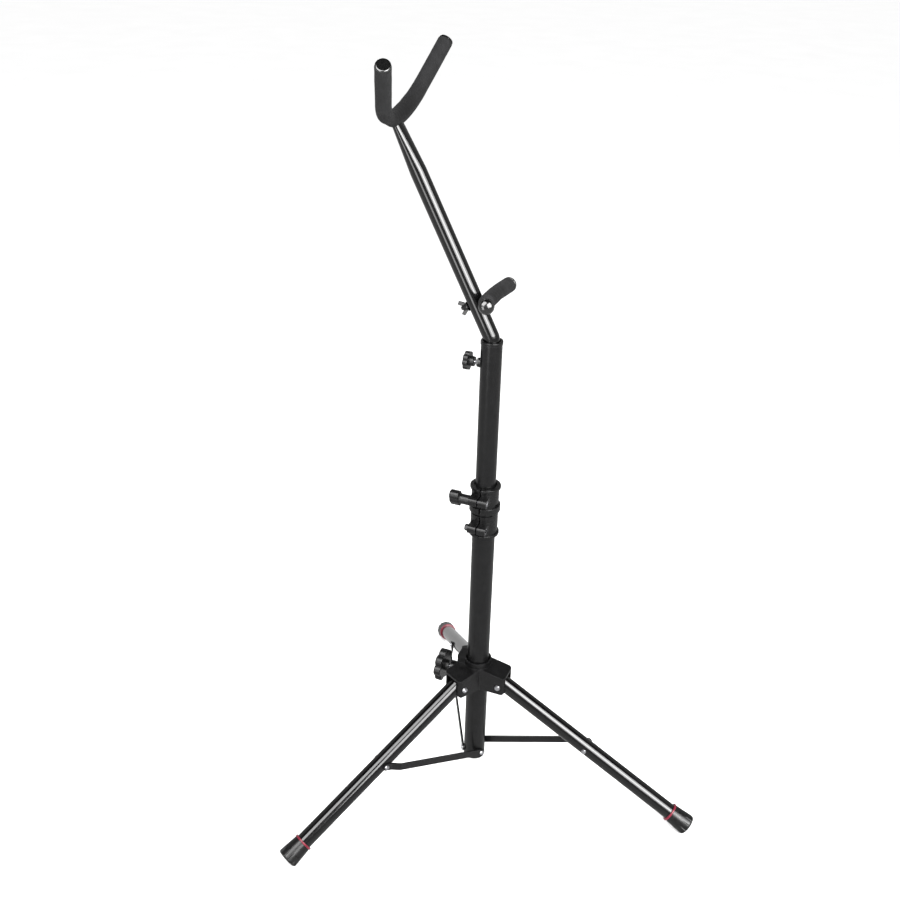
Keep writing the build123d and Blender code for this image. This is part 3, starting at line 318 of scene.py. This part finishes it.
def paint_frame():
    """Each CAD node takes its slot's material, smooth shading and a fine edge radius."""
    slots = {part["node"]: part["material_slot"] for part in frame["record"]["subparts"]}
    for name, node in frame["nodes"].items():
        node.data.materials.clear()
        node.data.materials.append(NODE_MATERIALS.get(name) or MATERIALS[slots[name]])
        node.data.shade_smooth()
        node.data.set_sharp_from_angle(angle=SHARP_ANGLE)
        edge = node.modifiers.new("edge", "BEVEL")
        edge.width = EDGE_RADII.get(name, EDGE_RADIUS)
        edge.segments = 2
        edge.limit_method = "ANGLE"
        edge.angle_limit = ROUNDED_ANGLE
        edge.use_clamp_overlap = True
        edge.harden_normals = True


# ------------------------------------------------------------------ mesh building
def piece(name, verts, faces, material, body):
    """Smooth-shaded mesh that rides on a body."""
    mesh = bpy.data.meshes.new(name)
    mesh.from_pydata([tuple(v) for v in verts], [], faces)
    mesh.update()
    mesh.materials.append(material)
    for polygon in mesh.polygons:
        polygon.use_smooth = True
    made = bpy.data.objects.new(name, mesh)
    bpy.context.scene.collection.objects.link(made)
    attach(made, body)
    return made


LINE_STEP = 0.002


def bent_line(centre, across, up, radius, half_turn, arm, flat=0.0):
    """Points and headings along a symmetric U, and the length of half of it."""
    half = flat + radius * half_turn + arm
    count = 2 * int(half / LINE_STEP)
    line = []
    for i in range(count + 1):
        s = -half + 2 * half * i / count
        side, distance = (1 if s >= 0 else -1), abs(s)
        turn = min(max((distance - flat) / radius, 0.0), half_turn)
        rest = max(distance - flat - radius * half_turn, 0.0)
        sideways = min(distance, flat) + radius * sin(turn) + rest * cos(turn)
        rise = radius * (1 - cos(turn)) + rest * sin(turn)
        point = centre + across * side * sideways + up * rise
        heading = across * cos(turn) + up * side * sin(turn)
        line.append((point, heading))
    return line, half


def skin_rows(verts_per_row, rows):
    """Quads that join successive rows of points into a closed tube."""
    faces = []
    for i in range(rows - 1):
        for j in range(verts_per_row):
            k = (j + 1) % verts_per_row
            here, there = i * verts_per_row, (i + 1) * verts_per_row
            faces.append((here + j, here + k, there + k, there + j))
    return faces


FOAM_LIP, LIP_STEPS = 0.0024, 6  # radius of a sleeve's rolled end, and its rows


def foam_end(point, outward, radius, bore):
    """Rows that roll a sleeve's end inwards to its bore, as (point, radius)."""
    rows = []
    for k in range(LIP_STEPS + 1):
        a = k / LIP_STEPS * pi / 2
        rows.append((point + outward * FOAM_LIP * (sin(a) - 1), radius - FOAM_LIP * (1 - cos(a))))
    rows.append((point, radius - FOAM_LIP - 0.0012))
    rows.append((point - outward * 0.0006, bore + 0.0016))
    rows.append((point - outward * 0.0016, bore + 0.0006))
    rows.append((point - outward * 0.010, bore))
    return rows


FOAM_AROUND = 64
END_ROWS = 2  # rows of the line that each rolled end takes the place of
LUMPS = (45, 0.00022), (160, 0.00008)  # (noise scale, height) of the uneven skin
ALL_ROUND = 0.35  # share of a crease's depth that shows on the sides it doesn't face
GATHER_PITCH = 0.0095  # spacing of the small folds inside a bend
BEYOND_CREASES = 1.0  # distance given to the far end's rows, past every crease


def foam_tube(name, line, opening, radius, bore, body, node, seed, creases, gather):
    """Foam sleeve over a bent bar: uneven skin, rolled ends, creases and gathered bends.

    A crease is (distance from the line's start, width, depth, side): side +1 faces the
    opening and -1 faces away from it, and a negative depth is a bulge."""
    step = (line[1][0] - line[0][0]).length
    (first, start_heading), (last, end_heading) = line[0], line[-1]
    middle_heading = line[len(line) // 2][1]
    binormal = start_heading.cross(opening).normalized()
    rings = [(p, start_heading, r, 0.0)
             for p, r in reversed(foam_end(first, -start_heading, radius, bore))]
    rings += [(p, h, radius, i * step) for i, (p, h) in enumerate(line)][END_ROWS:-END_ROWS]
    rings += [(p, end_heading, r, BEYOND_CREASES)
              for p, r in foam_end(last, end_heading, radius, bore)]
    (lump, lump_height), (pore, pore_height) = LUMPS
    verts = []
    for point, heading, r, distance in rings:
        normal = binormal.cross(heading).normalized()
        bent = 1 - min(1.0, abs(heading.dot(middle_heading) - 1) * 3)
        gathers = 0.5 * (1 + sin(distance * 2 * pi / GATHER_PITCH))
        for j in range(FOAM_AROUND):
            a = 2 * pi * j / FOAM_AROUND
            direction = normal * cos(a) + binormal * sin(a)
            where = point + direction * r
            height = noise.noise(where * lump + Vector((seed, 0, 0))) * lump_height
            height += noise.noise(where * pore + Vector((0, seed, 0))) * pore_height
            for centre, width, depth, side in creases:
                reach = exp(-((distance - centre) / width) ** 2)
                even = ALL_ROUND if depth > 0 else 0.0
                height -= depth * reach * (even + (1 - even) * max(0.0, side * cos(a)))
            height += max(0.0, cos(a)) * gather * bent * gathers
            on_skin = r > radius - FOAM_LIP - 0.0006
            verts.append(where + direction * (height if on_skin else 0.0))
    made = piece(name, verts, skin_rows(FOAM_AROUND, len(rings)), MATERIALS["foam"], body)
    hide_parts(node)


def yoke_and_fork_foam():
    yoke, middle = bent_line(YOKE_CENTRE, ACROSS, YOKE_UP, YOKE_RADIUS, YOKE_HALF_TURN, YOKE_ARM)
    creases = ((middle - 0.032, 0.018, 0.0032, -1), (middle + 0.036, 0.007, 0.0005, 1),
               (middle - 0.030, 0.004, 0.0005, 1), (middle + 0.034, 0.042, -0.0046, 1),
               (middle + 0.036, 0.030, -0.0012, -1))
    foam_tube("yoke_foam_sleeve", yoke, YOKE_UP, YOKE_FOAM_R, YOKE_BORE, "neck", "yoke_foam",
              seed=3.1, creases=creases, gather=0.0003)
    fork, middle = bent_line(FORK_CENTRE, FORK_ACROSS, ROD_FORWARD, FORK_RADIUS, FORK_HALF_TURN,
                             FORK_ARM, flat=FORK_FLAT)
    creases = ((middle - 0.021, 0.005, 0.0006, 1), (middle + 0.026, 0.005, 0.0006, 1))
    foam_tube("fork_foam_sleeve", fork, ROD_FORWARD, FORK_FOAM_R, FORK_BORE, "fork", "fork_foam",
              seed=8.4, creases=creases, gather=0.0003)
    for end, (point, heading), side in (("near", fork[0], -1), ("far", fork[-1], 1)):
        fork_dome(f"fork_dome_{end}", point, heading * side, f"fork_cap_{end}")


def circle(axis, count):
    """Unit vectors around an axis."""
    first = axis.orthogonal().normalized()
    second = axis.cross(first)
    angles = [2 * pi * j / count for j in range(count)]
    return [first * cos(a) + second * sin(a) for a in angles]


# Fork cap, as (distance beyond the foam's end, radius): its plug and rim, and then its dome.
CAP_RIM = [(-0.004, 0.0), (-0.004, 0.0096), (-0.0004, 0.0100), (-0.0004, 0.0112),
           (0.0002, 0.0117), (0.0012, 0.0117), (0.0016, 0.0114), (0.0017, 0.0112)]
DOME_START, DOME_RISE, DOME_RADIUS, DOME_STEPS = 0.0017, 0.0068, 0.0111, 18
CAP_AROUND = 72


def fork_dome(name, point, outward, node):
    """Domed end cap with a thin rim that laps over the foam's end."""
    angles = [k / DOME_STEPS * pi / 2 for k in range(1, DOME_STEPS + 1)]
    dome = [(DOME_START + DOME_RISE * sin(a), DOME_RADIUS * cos(a)) for a in angles]
    profile, spokes = CAP_RIM + dome, circle(outward, CAP_AROUND)
    verts = [point + outward * along + spoke * radius
             for along, radius in profile for spoke in spokes]
    made = piece(name, verts, skin_rows(CAP_AROUND, len(profile)), MATERIALS["end_cap_plastic"],
                 "fork")
    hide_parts(node)


STUD_AROUND, ROWS_PER_TURN = 40, 8
THREAD_DEPTH, THREAD_ROOT = 0.54, 0.46  # of the pitch: flank depth, and the flat root's depth
CHAMFER, CHAMFER_START, CHAMFER_RADIUS = 0.0006, 0.0002, 0.72  # the last is of the radius
STUDS = {"hub_knob": (0.0040, 0.00125), "clamp_knob": (0.0030, 0.0010),
         "thumb_screw": (0.0030, 0.0010)}  # body: (radius, pitch)


def threaded_stud(name, start, end, radius, pitch, body, node):
    """Screw thread cut into a stud, with chamfered ends."""
    axis, length = (end - start).normalized(), (end - start).length
    spokes = circle(axis, STUD_AROUND)
    rows = int(length / pitch * ROWS_PER_TURN)
    verts = []
    for i in range(rows + 1):
        along = length * i / rows
        taper = min(1.0, (min(along, length - along) + CHAMFER_START) / CHAMFER)
        for j, spoke in enumerate(spokes):
            phase = (along / pitch - j / STUD_AROUND) % 1.0
            depth = pitch * THREAD_DEPTH * abs(2 * phase - 1)
            r = radius - min(depth, pitch * THREAD_ROOT)
            r *= CHAMFER_RADIUS + (1 - CHAMFER_RADIUS) * taper
            verts.append(start + axis * along + spoke * r)
    faces = skin_rows(STUD_AROUND, rows + 1)
    faces.append(tuple(reversed(range(STUD_AROUND))))
    faces.append(tuple(range(rows * STUD_AROUND, (rows + 1) * STUD_AROUND)))
    made = piece(name, verts, faces, MATERIALS["zinc_steel"], body)
    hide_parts(node)


def studs():
    """Real threads on the three studs whose length shows between knob and boss."""
    for body, (radius, pitch) in STUDS.items():
        node = f"{body}_stud"
        low, high = (Vector(corner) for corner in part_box(node))
        middle = (low + high) / 2
        start, end = (Vector((x, middle.y, middle.z)) for x in (high.x, low.x))
        threaded_stud(f"{node}_thread", start, end, radius, pitch, body, node)


# ------------------------------------------------------------------ stage
CAMERA_PLACE = Vector((0.4265, -1.4827, 1.4916))
CAMERA_YAW, CAMERA_PITCH, CAMERA_ROLL = radians(22.33), radians(28.55), radians(1.18)
LENS, SENSOR, SHIFT_X, SHIFT_Y = 44.42, 36.0, 0.0122, 0.0196
VIEW_DEPTH = 30


def camera():
    data = bpy.data.cameras.new("camera")
    data.sensor_width, data.lens = SENSOR, LENS
    data.shift_x, data.shift_y = SHIFT_X, SHIFT_Y
    data.clip_end = VIEW_DEPTH
    made = bpy.data.objects.new("camera", data)
    turn = Matrix.Rotation(CAMERA_YAW, 4, "Z") @ Matrix.Rotation(pi / 2 - CAMERA_PITCH, 4, "X")
    roll = Matrix.Rotation(CAMERA_ROLL, 4, "Z")
    made.matrix_world = Matrix.Translation(CAMERA_PLACE) @ turn @ roll
    bpy.context.scene.collection.objects.link(made)
    bpy.context.scene.camera = made


FLOOR_HALF = 30
GROUND_HALF, GROUND_HEIGHT = 6, -0.001  # just under the floor, which reflections don't show
WALL_RADIUS, WALL_HEIGHT, WALL_PANELS = 5.0, 4.5, 48


def sheet_of(name, verts, faces, material):
    """Flat or curved stage surface, which isn't part of the object."""
    mesh = bpy.data.meshes.new(name)
    mesh.from_pydata(verts, [], faces)
    mesh.materials.append(material)
    made = bpy.data.objects.new(name, mesh)
    bpy.context.scene.collection.objects.link(made)
    return made


def square(half, height):
    """Corners and the one face of a level square about the origin."""
    corners = [(-half, -half), (half, -half), (half, half), (-half, half)]
    return [(x, y, height) for x, y in corners], [(0, 1, 2, 3)]


def floor():
    s = Shader("floor")
    s.set(Roughness=0.9, IOR=1.1)
    pale = s.colours(s.noise(3, detail=4), (0.3, (0.88, 0.88, 0.88)), (0.7, (0.9, 0.9, 0.9)))
    s.link(pale, s.surface.inputs["Base Color"])
    made = sheet_of("floor", *square(FLOOR_HALF, 0), s.material)
    made.visible_glossy = False


def glow(name, radiance):
    s = Shader(name)
    s.set(Base_Color=(0, 0, 0, 1), Specular_IOR_Level=0.0, Emission_Color=(1, 1, 1, 1),
          Emission_Strength=radiance)
    return s.material


def reflected_studio():
    """Dim floor and walls that only show as reflections in the stand's paint."""
    ground = sheet_of("ground_glow", *square(GROUND_HALF, GROUND_HEIGHT),
                      glow("ground_glow", GROUND_GLOW))
    count = WALL_PANELS
    angles = [2 * pi * i / count for i in range(count)]
    verts = [(WALL_RADIUS * cos(a), WALL_RADIUS * sin(a), z)
             for z in (0.0, WALL_HEIGHT) for a in angles]
    walls = sheet_of("wall_glow", verts, skin_rows(count, 2), glow("wall_glow", WALL_GLOW))
    for made in (ground, walls):
        made.visible_camera = False
        made.visible_diffuse = False
        made.visible_transmission = False
        made.visible_shadow = False


def softbox(name, ends, target, width, radiance):
    """Long softbox between two points, which faces a target."""
    start, end = Vector(ends[0]), Vector(ends[1])
    place, along = (start + end) / 2, (end - start).normalized()
    back = place - Vector(target)
    back = (back - along * back.dot(along)).normalized()
    data = bpy.data.lights.new(name, "AREA")
    data.shape = "RECTANGLE"
    data.size, data.size_y = (end - start).length, width
    data.energy = radiance * pi * data.size * data.size_y
    made = bpy.data.objects.new(name, data)
    sideways = back.cross(along)
    turn = Matrix((along, sideways, back)).transposed().to_4x4()
    made.matrix_world = Matrix.Translation(place) @ turn
    made.visible_camera = False
    bpy.context.scene.collection.objects.link(made)


# Radiances of the studio, and its long softboxes as (ends, target, width, radiance).
ROOM, GROUND_GLOW, WALL_GLOW = 1.12, 0.55, 0.30
SOFTBOXES = {
    "right_leg_strip": (((0.85, -0.75, 2.10), (2.20, -0.70, 1.16)), (0.1, 0, 0.15), 1.25, 9),
    "left_leg_strip": (((-0.11, -0.72, 2.36), (-0.82, -1.90, 1.60)), (-0.2, -0.2, 0.15), 1.25, 8),
    "rod_left_strip": (((-0.30, -2.10, 0.16), (-0.83, -2.15, 1.24)), (-0.2, 0, 1.0), 0.75, 4.5),
    "rod_right_strip": (((1.70, -1.37, 1.07), (1.10, -1.38, 2.27)), (-0.2, 0, 1.0), 1.25, 10),
    "back_strip": (((-1.5, 1.9, 0.7), (-1.5, 1.9, 2.3)), (-0.1, 0, 0.6), 0.4, 3),
}


def lights():
    world = bpy.data.worlds.new("studio")
    bpy.context.scene.world = world
    world.use_nodes = True
    world.node_tree.nodes["Background"].inputs["Color"].default_value = (1, 1, 1, 1)
    world.node_tree.nodes["Background"].inputs["Strength"].default_value = ROOM
    world.cycles_visibility.glossy = False
    for name, (ends, target, width, radiance) in SOFTBOXES.items():
        softbox(name, ends, target, width, radiance)
    bpy.context.scene.view_settings.view_transform = "Standard"


paint_frame()
yoke_and_fork_foam()
studs()
camera()
floor()
reflected_studio()
lights()
